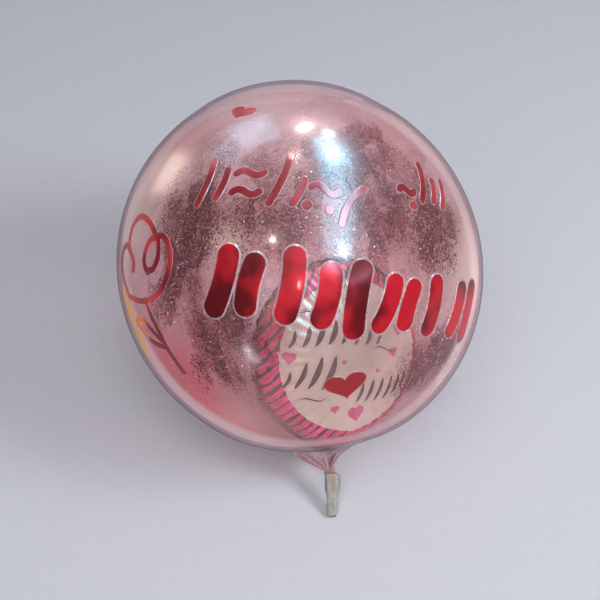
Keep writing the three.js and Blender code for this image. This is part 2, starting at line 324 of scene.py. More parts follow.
def dust_density(paint, drawn, clouds):
    """How thick the glitter lies: upright bands and straighter patches in soft clouds. The
    straighter patches, and partly the thicker and thinner zones, are painted reflections.
    """
    bands = paint.noise(paint.stretched(drawn, (7.0, 7.0, 1.8)), 1.0, 2.0, 0.5)
    reflection_panes = paint.reflection_panes(paint.stretched(drawn, (6.5, 6.5, 3.2)), 1.0)
    # The straight-sided patches are painted reflections.
    patches = 0.35 + 0.35 * bands.ramp(0.38, 0.58) + 0.5 * reflection_panes.ramp(0.42, 0.56)
    settled = paint.attribute("settled_dust")
    return (settled * patches * (0.45 + clouds.ramp(0.25, 0.65))).clamped()


def tape_finish():
    """Several turns of clear tape: greenish grey, darker at its sides, tan film within."""
    paint = Paint("wound clear tape")
    place = paint.place()
    across = paint.attribute("tape_side")
    streaks = paint.noise(paint.stretched(place, (1.0, 0.35, 0.35)), 240.0, 2.0, 0.5)
    cloud = paint.noise(place, 60.0, 2.0)
    tan = paint.attribute("tan_core") * cloud.ramp(0.3, 0.55)
    grey = paint.blend(streaks.ramp(0.2, 0.8), (0.36, 0.38, 0.34, 1), (0.47, 0.48, 0.44, 1))
    layers = [
        (tan, (0.42, 0.29, 0.21, 1)),
        (across.ramp(-0.62, -0.92), (0.15, 0.23, 0.22, 1)),
        (across.ramp(0.72, 0.98), (0.27, 0.3, 0.27, 1)),
    ]
    skin = paint.gloss(
        Base_Color=paint.coats(grey, layers),
        Roughness=0.2 + 0.15 * cloud,
        Coat_Weight=0.7,
        Coat_Roughness=0.06,
        Normal=paint.bump(streaks + cloud, 0.0008, 0.3),
    )
    cover = (0.72 + 0.25 * streaks).clamped()
    return paint.done(paint.layered(cover, paint.clear((0.82, 0.87, 0.84, 1)), skin))


def foil_vinyl_finish(name, deep, bright, shine, stem=None):
    """Metallic red vinyl with soft creases, so that lights break up in it.

    With a colour for the stem it is the flower's vinyl, whose leaf has a painted orange reflection.
    """
    paint = Paint(name)
    place = paint.place()
    folds = paint.noise(place, 18.0, 1.0, 0.4, 0.3)
    ripples = paint.noise(place, 55.0, 1.0, 0.4)
    # Painted reflection: the red is painted brighter and darker with the creases, over its own
    # colour.
    color = paint.blend((folds + 0.25 * ripples).ramp(0.5, 0.74), deep, bright)
    if stem:
        # The leaf's orange is a painted reflection.
        painted_gleam = paint.attribute("amber_reflection").ramp(0.4, 0.7)
        color = paint.coats(color, [(paint.attribute("stem"), stem), (painted_gleam, (1.0, 0.22, 0.01, 1))])
    skin = paint.gloss(
        Base_Color=color,
        Metallic=shine,
        Roughness=0.24 + 0.14 * ripples,
        Specular_IOR_Level=0.3,
        Coat_Weight=0.3,
        Coat_Roughness=0.1,
        Normal=paint.bump(folds * 2.5 + ripples * 0.5, 0.004, 0.35),
    )
    return paint.done(skin)


def vinyl_margin_finish():
    """The clear carrier that shows as a pale edge round each cut shape."""
    paint = Paint("clear vinyl margin")
    haze = paint.noise(paint.place(), 150.0, 2.0)
    skin = paint.gloss(
        Base_Color=(0.8, 0.64, 0.68, 1),
        Roughness=0.3,
        Coat_Weight=0.3,
        Normal=paint.bump(haze, 0.0004, 0.3),
    )
    cover = 0.3 + 0.2 * haze.ramp(0.35, 0.75)
    return paint.done(paint.layered(cover, paint.clear((0.96, 0.93, 0.94, 1)), skin))


def printed_foil_finish():
    """Printed foil: cream panel, hot pink border with black brush stripes, magenta hearts."""
    paint = Paint("printed foil")
    flat = paint.attribute("flat_place", "Vector")
    panel = paint.attribute("panel_edge").ramp(0.35, -0.35)
    ink_edge = paint.attribute("ink_edge")
    ink = ink_edge.ramp(0.3, -0.3)
    hearts = paint.attribute("heart_edge").ramp(0.3, -0.3)
    seam = paint.attribute("seam_share")
    across = paint.part_of(flat, "X")
    up = paint.part_of(flat, "Y")
    wobble = paint.noise(flat, 0.02, 1.0, 0.5)
    rough_edge = paint.noise(flat, 0.35, 3.0, 0.7)
    turns = up * 0.055 - across * 0.07 + wobble * 0.6 + rough_edge * 0.07
    stripe = turns.math("FRACT", turns)
    width = 0.22 + 0.36 * paint.noise(flat, 0.04, 1.0).ramp(0.3, 0.7)
    hair = stripe.ramp(0.7, 0.72) * stripe.ramp(0.76, 0.74) * rough_edge.ramp(0.42, 0.55)
    black = (stripe.ramp(0.02, 0.05) * (stripe - width).ramp(0.03, -0.03)).highest(hair)
    brush = paint.noise(flat, 1.4, 3.0, 0.8)
    pink_cloud = paint.noise(flat, 0.035, 2.0).ramp(0.35, 0.65)
    pink = paint.blend(pink_cloud, (0.68, 0.014, 0.13, 1), (1.0, 0.055, 0.39, 1))
    border = paint.blend(black, pink, (0.012, 0.004, 0.007, 1))
    cream_cloud = paint.noise(flat, 0.02, 2.0)
    cream = paint.blend(cream_cloud, (0.72, 0.83, 0.66, 1), (0.84, 0.96, 0.78, 1))
    light_line = ink_edge.ramp(1.7, 2.1) * ink_edge.ramp(2.9, 2.5)
    magenta = paint.blend(brush, (0.55, 0.05, 0.2, 1), (0.85, 0.2, 0.45, 1))
    printing = [
        (light_line * 0.35, (0.3, 0.27, 0.26, 1)),
        (hearts, magenta),
        (ink * brush.ramp(0.12, 0.3), (0.01, 0.006, 0.007, 1)),
    ]
    dark_edge = paint.blend(brush, (0.06, 0.006, 0.016, 1), (0.22, 0.02, 0.06, 1))
    layers = [
        (panel, paint.coats(cream, printing)),
        (seam.ramp(0.972, 1.0), dark_edge),
        # Painted shade: the foil is darker towards its neck, in the narrow gather.
        (up.ramp(-120.0, -134.0), (0.09, 0.018, 0.035, 1)),
    ]
    crinkle = paint.noise(flat, 0.07, 3.0, 0.6, 0.5)
    skin = paint.gloss(
        Base_Color=paint.coats(border, layers),
        Metallic=0.2,
        Roughness=0.3 + 0.1 * crinkle,
        Coat_Weight=0.3,
        Coat_Roughness=0.15,
        Normal=paint.bump(crinkle, 0.003, 0.4),
    )
    return paint.done(skin)


def floor_finish():
    paint = Paint("pale floor")
    place = paint.place()
    grain = paint.noise(place, 90.0, 3.0, 0.6)
    color = paint.blend(grain, (0.58, 0.6, 0.655, 1), (0.61, 0.635, 0.695, 1))
    return paint.done(paint.gloss(Base_Color=color, Roughness=0.9, Specular_IOR_Level=0.0))


# ---- meshes --------------------


def build(name, points, faces, materials, shades=None):
    """A mesh from points in the upright drawing. shades holds each face's material."""
    mesh = bpy.data.meshes.new(name)
    mesh.from_pydata([STAND @ Vector(point) for point in points], [], faces)
    for material in materials:
        mesh.materials.append(material)
    if shades is not None:
        mesh.polygons.foreach_set("material_index", shades)
    mesh.polygons.foreach_set("use_smooth", [True] * len(mesh.polygons))
    mesh.update()
    piece = placed(name, mesh)
    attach(piece, "root")
    return piece


def note(piece, name, numbers):
    """Stores one number for each point of a piece, for its material to read."""
    store = piece.data.attributes.new(name, "FLOAT", "POINT")
    store.data.foreach_set("value", np.asarray(numbers, np.float32))


def note_places(piece, name, places):
    """Stores a place for each point of a piece."""
    store = piece.data.attributes.new(name, "FLOAT_VECTOR", "POINT")
    store.data.foreach_set("vector", np.asarray(places, np.float32).ravel())


def as_rows(points):
    return np.array([tuple(point) for point in points])


def band(first, second, count):
    """Faces between two rings of as many points."""
    faces = []
    for i in range(count):
        j = (i + 1) % count
        faces.append((first + i, first + j, second + j, second + i))
    return faces


def fan(ring, middle, count, flip):
    """Faces that close a ring onto a middle point."""
    order = [(ring + i, ring + (i + 1) % count) for i in range(count)]
    return [(middle, b, a) if flip else (middle, a, b) for a, b in order]


def loft(rings, start, end):
    """Points and faces of a skin over rings of points, closed by a fan at each end."""
    count = len(rings[0])
    points = as_rows([point for ring in rings for point in ring] + [start, end])
    faces = fan(0, len(points) - 2, count, True)
    for i in range(len(rings) - 1):
        faces += band(i * count, (i + 1) * count, count)
    faces += fan((len(rings) - 1) * count, len(points) - 1, count, False)
    return points, faces


# ---- the film --------------------

FILM_SEGMENTS = 256
CROWN_STEPS = 26
BALL_STEPS = 111
FLARE_STEPS = 49
TAIL_STEPS = 28
ANGLES = round_angles(FILM_SEGMENTS)

# Folds round the neck: how many, where they start and how strong they are.
PLEATS = [(11, 0.4, 0.36), (17, 2.1, 0.32), (29, 4.0, 0.24), (43, 1.2, 0.16)]
BALL_CREASE = 0.9
BALL_CREASES_FROM = 0.82
FLARE_FOLDS = (0.03, 0.2)
FLARE_CROWDING = 1.6
TAIL_FOLDS = 0.1


def pleat_wave(angles):
    """Sharp-backed folds round the neck, between about -1 and 1."""
    wave = np.zeros_like(angles)
    for count, phase, size in PLEATS:
        wave += size * (1 - 2 * np.abs(np.sin(0.5 * (count * angles + phase))))
    return wave


def axis_ring(tilt, height, radii):
    """A ring round an axis tilted from straight up, towards +X."""
    up = leaning(tilt)
    side = np.array([up[2], 0, -up[0]])
    ring = np.outer(height * np.ones(FILM_SEGMENTS), up)
    ring += np.outer(radii * np.cos(ANGLES), side)
    ring[:, 1] = radii * np.sin(ANGLES)
    return ring


def polar_ring(tilt, polar, distance):
    return axis_ring(tilt, distance * np.cos(polar), distance * np.sin(polar))


def out_of_round(points):
    """Draws the ball out a little on a slant, seen from the front, and in across it."""
    x, _, z = points.T
    turn = 2 * (np.arctan2(z, x) - math.radians(STRETCH_ALONG))
    facing = (x**2 + z**2) / (points**2).sum(axis=1)
    fade = 1 - smooth(*STRETCH_FADE, -z)
    return points * (1 + STRETCH_SHARE * np.cos(turn) * facing * fade)[:, None]


def crown_rings():
    """The crown is a little higher than the ball and meets it at its rim."""
    shares = np.sin(np.linspace(0, np.pi / 2, CROWN_STEPS))[1:]
    half_angle = math.radians(CROWN_HALF_ANGLE)
    heights = CROWN_HEIGHT * (1 - shares**4)
    return [
        polar_ring(CROWN_TILT, share * half_angle, BALL_RADIUS + height)
        for share, height in zip(shares, heights)
    ]


def ball_rings():
    """From the crown's rim to the flare. Fine creases grow towards the neck."""
    first = math.radians(CROWN_HALF_ANGLE)
    last = math.pi - math.asin(FLARE_RADIUS / BALL_RADIUS)
    rings = []
    for share in np.linspace(0, 1, BALL_STEPS)[1:]:
        tilt = lerp(CROWN_TILT, -NECK_TILT, share)
        crease = BALL_CREASE * smooth(BALL_CREASES_FROM, 1.0, share)
        crease = crease * np.minimum(pleat_wave(ANGLES), 0)
        rings.append(polar_ring(tilt, lerp(first, last, share), BALL_RADIUS + crease))
    return rings


FLARE_BASE = math.sqrt(BALL_RADIUS**2 - FLARE_RADIUS**2)


def flare_radius(share, cosines):
    """The flare is straight on the left, where the cosine is -1, and hollow on the right."""
    curve = lerp(*FLARE_CURVES, (1 + cosines) / 2)
    return GATHER_RADIUS + (FLARE_RADIUS - GATHER_RADIUS) * (1 - share) ** curve


def flare_rings():
    rings = []
    for share in 1 - (1 - np.linspace(0, 1, FLARE_STEPS)[1:]) ** FLARE_CROWDING:
        reach = lerp(FLARE_BASE, GATHER_REACH, share)
        folds = 1 + lerp(*FLARE_FOLDS, share) * pleat_wave(ANGLES)
        radii = flare_radius(share, np.cos(ANGLES)) * folds
        rings.append(axis_ring(-NECK_TILT, -reach, radii))
    return rings


def core_size(depth):
    """The folded tail's middle and half sizes at a depth below the middle of the ball."""
    share = (depth - TAIL_TOP) / (TAIL_END - TAIL_TOP)
    scale = lerp(1, TAIL_NARROWING, share)
    x = lerp(TAIL_BEND_X, TAIL_X, min(1, (depth - TAIL_TOP) / TAIL_BEND_LENGTH))
    return x, TAIL_HALF[0] * scale, TAIL_HALF[1] * scale


def core_rings():
    rings = []
    folds = 1 + TAIL_FOLDS * np.minimum(pleat_wave(ANGLES), 0)
    for depth in np.linspace(TAIL_TOP, TAIL_END, TAIL_STEPS):
        x, wide, deep = core_size(depth)
        columns = (x + wide * folds * np.cos(ANGLES), deep * folds * np.sin(ANGLES))
        rings.append(np.column_stack([*columns, np.full(FILM_SEGMENTS, -depth)]))
    return rings


DUST_FLOOR = 0.12

# Soft round clouds: longitude, latitude, spread in degrees and amount. They are settled glitter,
# pink blushes, a painted cream reflection, and the painted orange reflection on the film and the
# flower's leaf.
DUST_CLOUDS = [
    (-34, 20, 9, 1.5), (-33, 8, 8, 1.1), (-6, 17, 8, 1.5),
    (-22, -12, 11, 1.0), (-38, -4, 8, 0.6), (-24, -26, 8, 0.6),
    (13, 38, 10, 0.8), (31, 22, 11, 1.6), (28, 42, 12, 0.45),
    (47, -25, 12, 1.4), (44, 14, 8, 0.9), (12, 4, 8, 0.5),
    (110, 10, 28, 0.6), (165, 25, 30, 0.5), (-140, 15, 30, 0.6),
    (175, -35, 24, 0.4), (-100, 40, 20, 0.4),
]
BLUSHES = [
    (-46, -30, 20, 1.2), (-24, -58, 14, 0.7), (-48, 46, 8, 0.4),
    (70, -8, 12, 0.5), (44, 46, 14, 0.35), (150, -10, 30, 0.4),
]
# Painted cream reflections on the film.
CREAM_REFLECTIONS = [
    (-62, 18, 14, 1.3), (-50, 35, 9, 1.0), (-44, 56, 9, 0.5),
    (-20, 12, 7, 0.7), (-30, -46, 11, 1.0), (-20, 68, 14, 0.6),
    (58, 2, 12, 0.9), (-160, 0, 30, 0.4),
]
# Painted orange reflections, on the film and on the flower's leaf.
AMBER_REFLECTIONS = [(-65, -5, 3, 1.0), (-63, -11, 3.5, 1.0), (-61, -18, 3, 1.0), (-60, -22.5, 2.2, 1.0)]
LEAF_AMBER_REFLECTIONS = [(-58, -14, 7, 1.0)]


def cloudiness(directions, clouds):
    """How much of some soft round clouds lies at each direction from the ball's middle."""
    total = np.zeros(len(directions))
    for longitude, latitude, spread, amount in clouds:
        cosine = np.clip(directions @ direction(longitude, latitude), -1, 1)
        total += amount * np.exp(-((np.degrees(np.arccos(cosine)) / spread) ** 2))
    return total


# Where the crown's colour ends: its angle from the crown, and how far back it fades. Then where the
# painted shade of the crease at the back of the cap lies, and how narrow it is.
CAP_RIM = (32, 37)
CAP_FRONT = (-0.3, 0.0)
CAP_BACK = (0.16, 0.25)
CREASE_BACK = 0.235
CREASE_SPREAD = 0.012

# The neck, by its angle from the crown, and where the painted shade of its fold lines shows.
NECK_FROM = 120
FOLD_DEPTHS = (-0.15, -0.7)
FOLD_REACH = (246, 256)
OUTLINE_FADE = 6


def make_film():
    rings = crown_rings() + ball_rings() + flare_rings() + core_rings()
    crown = leaning(CROWN_TILT)
    top = tuple(crown * (CROWN_HEIGHT + BALL_RADIUS))
    points, faces = loft(rings, top, (TAIL_X, 0, -TAIL_END))
    place = out_of_round(points)
    film = build("bubble_film", place, faces, [film_finish()])
    for vertex in film.data.vertices:
        vertex.co.z = max(vertex.co.z, 0.0)
    reach = np.linalg.norm(place, axis=1)
    directions = place / reach[:, None]
    note_places(film, "drawn_place", directions)
    note(film, "settled_dust", DUST_FLOOR + cloudiness(directions, DUST_CLOUDS))
    note(film, "blush", np.minimum(cloudiness(directions, BLUSHES), 1))
    note(film, "cream_reflection", np.minimum(cloudiness(directions, CREAM_REFLECTIONS), 1))
    note(film, "amber_reflection", cloudiness(directions, AMBER_REFLECTIONS))
    angle = np.degrees(np.arccos(np.clip(directions @ crown, -1, 1)))
    note_crown(film, angle, directions[:, 1])
    depths = np.append(np.tile(pleat_wave(ANGLES), len(rings)), [0, 0])
    below = angle > NECK_FROM
    # The neck's fold lines are painted shade.
    note(film, "pleat_shade", smooth(*FOLD_DEPTHS, depths) * smooth(*FOLD_REACH, reach) * below)
    note(film, "above_tail", 1 - smooth(TAIL_TOP - OUTLINE_FADE, TAIL_TOP, reach) * below)
    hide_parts("bubble")


def note_crown(film, angle, back):
    """The crown's bluish cap, seen from the front, and the painted shade of the crease behind it.
    """
    near = 1 - smooth(*CAP_RIM, angle)
    note(film, "crown_cap", smooth(*CAP_FRONT, back) * (1 - smooth(*CAP_BACK, back)) * near)
    note(film, "crown_crease_shade", np.exp(-(((back - CREASE_BACK) / CREASE_SPREAD) ** 2)) * near)


# ---- the tape --------------------

TAPE_FIT = 0.6
TAPE_SEGMENTS = 96
TAPE_STEPS = 72

# The winding's depth, its left and right half widths and its middle.
TAPE_SHAPE = [
    (277, 8.6, 8.6, 40.8),
    (281.5, 10.4, 11.0, 43.4),
    (290, 10.8, 11.2, 44.0),
    (300, 10.3, 9.8, 43.8),
    (309, 8.2, 8.3, 43.7),
    (320, 7.9, 7.9, 43.7),
    (335, 7.5, 7.6, 43.6),
]
TAPE_SLANT = 2.0
TAPE_HALF_DEPTHS = (7.0, 6.0)
TAPE_PITCH = 9
TAPE_LAP = 0.35
TAPE_RIPPLE = 0.3
TAPE_INSET = 0.55
TAPE_SQUARENESS = 0.8
TAPE_MIDDLE = 43.5
TAPE_SHADE_WIDTH = 10
TAN_X = 45
TAN_SPREAD = 3.2
TAN_FADE = (290, 308)


def tape_sizes(depth):
    """Left and right half widths, middle and half depth of the winding at a depth."""
    depths, lefts, rights, middles = zip(*TAPE_SHAPE)
    share = (depth - depths[0]) / (depths[-1] - depths[0])
    sizes = [np.interp(depth, depths, column) for column in (lefts, rights, middles)]
    return (*sizes, lerp(*TAPE_HALF_DEPTHS, share))


def tape_outside(depth):
    """A squarish ring. Each turn of tape laps over the last one, and the tape is uneven."""
    left, right, middle, deep = tape_sizes(depth)
    ring = []
    for angle in round_angles(TAPE_SEGMENTS):
        c, s = math.cos(angle), math.sin(angle)
        turn = (depth / TAPE_PITCH + angle / (2 * np.pi)) % 1
        ripple = noise.noise(Vector((2.2 * c, 2.2 * s, depth * 0.12)))
        skin = TAPE_LAP * (1 - turn) + TAPE_RIPPLE * ripple - TAPE_INSET
        wide = (right if c > 0 else left) + skin
        x = middle + math.copysign(abs(c) ** TAPE_SQUARENESS, c) * wide
        y = math.copysign(abs(s) ** TAPE_SQUARENESS, s) * (deep + skin)
        ring.append((x, y, tape_slant(depth) * c - depth))
    return ring


def tape_slant(depth):
    """The end of the tape is cut on the slant."""
    return TAPE_SLANT * float(smooth(TAPE_SHAPE[-2][0], TAPE_SHAPE[-1][0], depth))


def tape_inside(depth):
    x, wide, deep = core_size(depth)
    angles = round_angles(TAPE_SEGMENTS)
    across = x + (wide + TAPE_FIT) * np.cos(angles)
    along = (deep + TAPE_FIT) * np.sin(angles)
    return np.column_stack([across, along, tape_slant(depth) * np.cos(angles) - depth])


def make_tape():
    top, end = TAPE_SHAPE[0][0], TAPE_SHAPE[-1][0]
    depths = np.linspace(top, end, TAPE_STEPS)
    rings = [tape_outside(d) for d in depths] + [list(tape_inside(d)) for d in depths[::-1]]
    points = [point for ring in rings for point in ring]
    faces = []
    for i in range(len(rings)):
        following = (i + 1) % len(rings)
        faces += band(i * TAPE_SEGMENTS, following * TAPE_SEGMENTS, TAPE_SEGMENTS)
    tape = build("tail_tape", points, faces, [tape_finish()])
    x, _, z = np.array(points).T
    note(tape, "tape_side", (x - TAPE_MIDDLE) / TAPE_SHADE_WIDTH)
    tan = np.exp(-(((x - TAN_X) / TAN_SPREAD) ** 2))
    note(tape, "tan_core", tan * (1 - smooth(*TAN_FADE, -z)))
    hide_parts("neck_tape")


# ---- stickers --------------------


class Patch:
    """A flat drawing, x right and y up, laid on the ball at a longitude and latitude."""

    def __init__(self, longitude, latitude, turn):
        lon = math.radians(longitude)
        east = Vector((math.cos(lon), math.sin(lon), 0))
        self.out = Vector(direction(longitude, latitude))
        spin = Matrix.Rotation(math.radians(turn), 3, self.out)
        self.right = spin @ east
        self.up = spin @ self.out.cross(east)

    def lay(self, x, y, lift):
        """Keeps the distance from the middle of the patch as an arc on the ball."""
        distance = math.hypot(x, y)
        angle = distance / BALL_RADIUS
        along = self.right * x + self.up * y
        along *= math.sin(angle) / distance if distance > 0 else 0
        return (along + self.out * math.cos(angle)) * (BALL_RADIUS + lift)


# How high the sticker's parts lie over the ball, and how the foil swells and sinks.
VINYL_LOW = 0.1
VINYL_TOP = 0.3
FOIL_TOP = 0.55
FOIL_SWELL = 0.35
FOIL_SINK = 0.15

CURVE_STEPS = 24
TIP_TURN = 15
HEART_POINTS = 96
DOT_POINTS = 48
MEETING_DISTANCE = 2e-6


def even_points(line, trim, count):
    """Even points along a line, leaving out a length at each end."""
    along = distances_along(line)
    even = np.linspace(trim, along[-1] - trim, count)
    return np.column_stack([np.interp(even, along, line[:, k]) for k in (0, 1)])


def distances_along(line):
    steps = np.linalg.norm(np.diff(line, axis=0), axis=1)
    return np.concatenate([[0], np.cumsum(steps)])


def curve_through(places, step=2.0):
    """Even points along a centripetal curve through the places."""
    p = np.array([np.array(q, float) for q in places])
    p = np.vstack([2 * p[0] - p[1], p, 2 * p[-1] - p[-2]])
    fine = []
    for a, b, c, d in zip(p, p[1:], p[2:], p[3:]):
        t1 = np.linalg.norm(b - a) ** 0.5
        t2 = t1 + np.linalg.norm(c - b) ** 0.5
        t3 = t2 + np.linalg.norm(d - c) ** 0.5
        for t in np.linspace(t1, t2, CURVE_STEPS, endpoint=False):
            e = a * (t1 - t) / t1 + b * t / t1
            f = b * (t2 - t) / (t2 - t1) + c * (t - t1) / (t2 - t1)
            g = c * (t3 - t) / (t3 - t2) + d * (t - t2) / (t3 - t2)
            h = e * (t2 - t) / t2 + f * t / t2
            i = f * (t3 - t) / (t3 - t1) + g * (t - t1) / (t3 - t1)
            fine.append(h * (t2 - t) / (t2 - t1) + i * (t - t1) / (t2 - t1))
    fine.append(p[-2])
    fine = np.array(fine)
    return even_points(fine, 0, max(8, round(distances_along(fine)[-1] / step)))


def slash(x, y, length, lean, bow):
    """A slanted stroke whose middle bends out by bow."""
    up = np.array([math.sin(math.radians(lean)), math.cos(math.radians(lean))])
    side = np.array([up[1], -up[0]])
    shares = [(-0.5, 0), (-0.25, 0.75), (0, 1), (0.25, 0.75), (0.5, 0)]
    return [np.array([x, y]) + up * length * s + side * bow * b for s, b in shares]


def wave(x, y, length, height, lean):
    """A lying wave: one crest and one trough."""
    places = []
    slope = math.tan(math.radians(lean))
    for share in np.linspace(-0.5, 0.5, 9):
        rise = length * share * slope - height * math.sin(2 * math.pi * share)
        places.append((x + length * share, y + rise))
    return places


def stroke_loops(places, width, radii):
    """For each radius, the loop of points at that distance round a stroke's spine."""
    line = curve_through(places)
    spine = even_points(line, width / 2, len(line))
    tangent = np.gradient(spine, axis=0)
    tangent /= np.linalg.norm(tangent, axis=1)[:, None]
    normal = np.column_stack([-tangent[:, 1], tangent[:, 0]])
    turns = np.radians(np.arange(TIP_TURN, 180, TIP_TURN))
    far = np.outer(np.cos(turns), normal[-1]) + np.outer(np.sin(turns), tangent[-1])
    near = -np.outer(np.cos(turns), normal[0]) - np.outer(np.sin(turns), tangent[0])
    ends = [np.tile(spine[i], (len(turns), 1)) for i in (-1, 0)]
    middles = np.vstack([spine, ends[0], spine[::-1], ends[1]])
    outward = np.vstack([normal, far, -normal[::-1], near])
    return [middles + radius * outward for radius in radii]


def heart_outline(width, height):
    a = round_angles(HEART_POINTS)
    y = 13 * np.cos(a) - 5 * np.cos(2 * a) - 2 * np.cos(3 * a) - np.cos(4 * a) + 2.5
    return np.column_stack([np.sin(a) ** 3 * width / 2, y * height / 29])


def round_outline(radius):
    a = round_angles(DOT_POINTS)
    return np.column_stack([radius * np.cos(a), radius * np.sin(a)])


def outset(outline, distance):
    """The outline moved outwards by a distance."""
    tangent = np.roll(outline, -1, axis=0) - np.roll(outline, 1, axis=0)
    length = np.maximum(np.linalg.norm(tangent, axis=1), 1e-6)
    normal = np.column_stack([tangent[:, 1], -tangent[:, 0]]) / length[:, None]
    if (normal * outline).sum() < 0:
        normal = -normal
    return outline + distance * normal


def sticker_layers(patch, rim, foil_loops):
    """Points, faces and shades of a sticker.

    The rim is the outer loop of the clear margin, and the foil's loops run from its edge to
    the middle, where their points meet. Inside its edge the foil is creased.
    """
    edge, *inner = foil_loops
    margin = [(inner[-1], VINYL_LOW), (rim, VINYL_LOW), (rim, VINYL_TOP)]
    loops = margin + [(edge, VINYL_TOP), (edge, FOIL_TOP)]
    points = [patch.lay(x, y, lift) for loop, lift in loops for x, y in loop]
    for x, y in np.vstack(inner):
        swell = FOIL_SWELL * noise.noise(Vector((x * 0.05, y * 0.05, patch.out.x * 9)))
        points.append(patch.lay(x, y, FOIL_TOP + max(swell, -FOIL_SINK)))
    count = len(edge)
    faces = []
    shades = []
    for i in range(len(loops) + len(inner) - 1):
        faces += band(i * count, (i + 1) * count, count)
        shades += [int(i < len(margin))] * count
    return points, faces, shades


def join_layers(parts):
    """Several lines cut as one sticker."""
    points, faces, shades = [], [], []
    for part_points, part_faces, part_shades in parts:
        shift = len(points)
        points += part_points
        faces += [tuple(corner + shift for corner in face) for face in part_faces]
        shades += part_shades
    return points, faces, shades


def make_sticker(name, layers, finishes):
    points, faces, shades = layers
    round_points = out_of_round(as_rows(points))
    sticker = build("sticker_" + name, round_points, faces, finishes, shades)
    reach = np.linalg.norm(round_points, axis=1)
    note(sticker, "amber_reflection", cloudiness(round_points / reach[:, None], LEAF_AMBER_REFLECTIONS))
    note(sticker, "stem", 1 - smooth(*STEM_FADE, round_points[:, 2]))
    close_middle(sticker)
    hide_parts(name)


def close_middle(piece):
    """Joins the points that meet on a spine, so that each part is one closed body."""
    mesh = bmesh.new()
    mesh.from_mesh(piece.data)
    bmesh.ops.remove_doubles(mesh, verts=mesh.verts, dist=MEETING_DISTANCE)
    bmesh.ops.dissolve_degenerate(mesh, edges=mesh.edges, dist=MEETING_DISTANCE / 2)
    bmesh.ops.recalc_face_normals(mesh, faces=mesh.faces)
    mesh.to_mesh(piece.data)
    mesh.free()


def stroke_layers(patch, places, width, margin):
    half = width / 2
    columns = max(2, round(half / 2.5))
    radii = [half, half - 0.35, *np.linspace(half - 1.2, 0, columns)]
    rim, *foil = stroke_loops(places, width, [half + margin, *radii])
    return sticker_layers(patch, rim, foil)


def filled_layers(patch, outline, middle, margin):
    shift = np.array(middle)
    foil = [outline * share + shift for share in (1, 0.975, 0.9, 0.75, 0.55, 0.3, 0)]
    return sticker_layers(patch, outset(outline, margin) + shift, foil)


# Clear margins round the thin strokes, the bars, the hearts and the flower.
SCRIPT_MARGIN = 0.9
BAR_MARGIN = 2.2
HEART_MARGIN = 0.8
FLOWER_MARGIN = 0.3

# The thin strokes, and the dots by their places and radii. Each kind is numbered in order.
SCRIPT_WIDTH = 8.5
SCRIPT_ROWS = [
    (
        Patch(-6.5, 29.5, -3),
        [
            ("slash", -90, 4, 64, 16, 4),
            ("slash", -68, 0, 44, 18, 3),
            ("wave", -34, 12, 38, 5, 10),
            ("wave", -37, -12, 38, 5, 10),
            ("slash", 0, 8, 76, 16, 4),
            ("slash", 22, -8, 40, 18, 3),
            ("wave", 53, -2, 40, 6, 8),
            ("slash", 88, -16, 62, 24, -7),
            ("dot", 34, -24, 6.0),
            ("dot", 60, -26, 5.5),
        ],
    ),
    (
        Patch(43, 28.5, -7),
        [
            ("wave", -27, -8, 26, 5, 8),
            ("slash", 0, 6, 60, 15, 4),
            ("slash", 17, -4, 38, 16, 3),
            ("slash", 34, -6, 46, 18, 3),
            ("dot", -22, -27, 5.5),
        ],
    ),
]

# The bars, with the width of each row.
BAR_ROWS = [
    (Patch(-12.3, 2.3, 0), 26, [(-42, 0, 88, 17, 5), (-3, -4, 74, 13, -4), (38, -3, 90, 9, 5)]),
    (Patch(11.5, -1.8, 0), 26, [(-21, 2, 76, 12, 5), (20, -4, 92, 8, -4)]),
    (Patch(32.3, -4.3, -4), 22, [(-34, -1, 72, 16, 4), (-1, -3, 62, 12, -3), (32, -4, 74, 8, 4)]),
    (Patch(55.8, -8.4, -6), 22, [(-18, 0, 70, 12, 4), (16, -3, 78, 6, -3)]),
]

# Hearts, by their width and height.
HEARTS = {
    "heart_top": (Patch(-29.8, 54.8, -8), 34, 26),
    "heart_front": (Patch(14.5, -28.7, 14), 50, 37),
}

FLOWER_WIDTH = 7.6
FLOWER_PATCH = Patch(-52, -7, -4)
STEM_FADE = (-42, -26)

# Five lines for the petals, then the stem and the two sides of the leaf.
FLOWER_LINES = [
    [(-39, 62), (-43, 78), (-39, 94), (-23, 105), (0, 101), (14, 92), (22, 85)],
    [(24, 87), (10, 80), (3, 66), (3, 52), (12, 43), (17, 44)],
    [(10, 44), (22, 48), (29, 62), (28, 76), (20, 88)],
    [(20, 87), (33, 88), (45, 79), (51, 65), (50, 49), (42, 31), (30, 18), (6, 7)]
    + [(-16, 4), (-38, 4)],
    [(-36, 2), (-49, 15), (-61, 29), (-65, 46), (-61, 59), (-51, 66), (-36, 61)]
    + [(-23, 49), (-25, 36)],
    [(6, 8), (13, -7), (23, -25), (33, -47), (43, -67), (51, -83)],
    [(34, -48), (9, -47), (-9, -39), (-29, -26)],
    [(-29, -29), (-22, -23), (-6, -21), (11, -30), (28, -41)],
]


def vinyl_finishes():
    """Brick red script, red bars, deep red hearts and the flower, whose stem is darkest."""
    brick = [(0.26, 0.014, 0.02, 1), (0.46, 0.05, 0.055, 1)]
    red = [(0.15, 0.004, 0.008, 1), (0.64, 0.012, 0.025, 1)]
    deep = [(0.33, 0.009, 0.013, 1), (0.52, 0.022, 0.028, 1)]
    petal = [(0.26, 0.006, 0.015, 1), (0.66, 0.05, 0.06, 1)]
    return (
        foil_vinyl_finish("brick red vinyl", *brick, 0.15),
        foil_vinyl_finish("red foil vinyl", *red, 0.4),
        foil_vinyl_finish("deep red vinyl", *deep, 0.1),
        foil_vinyl_finish("flower vinyl", *petal, 0.05, stem=(0.24, 0.001, 0.014, 1)),
    )


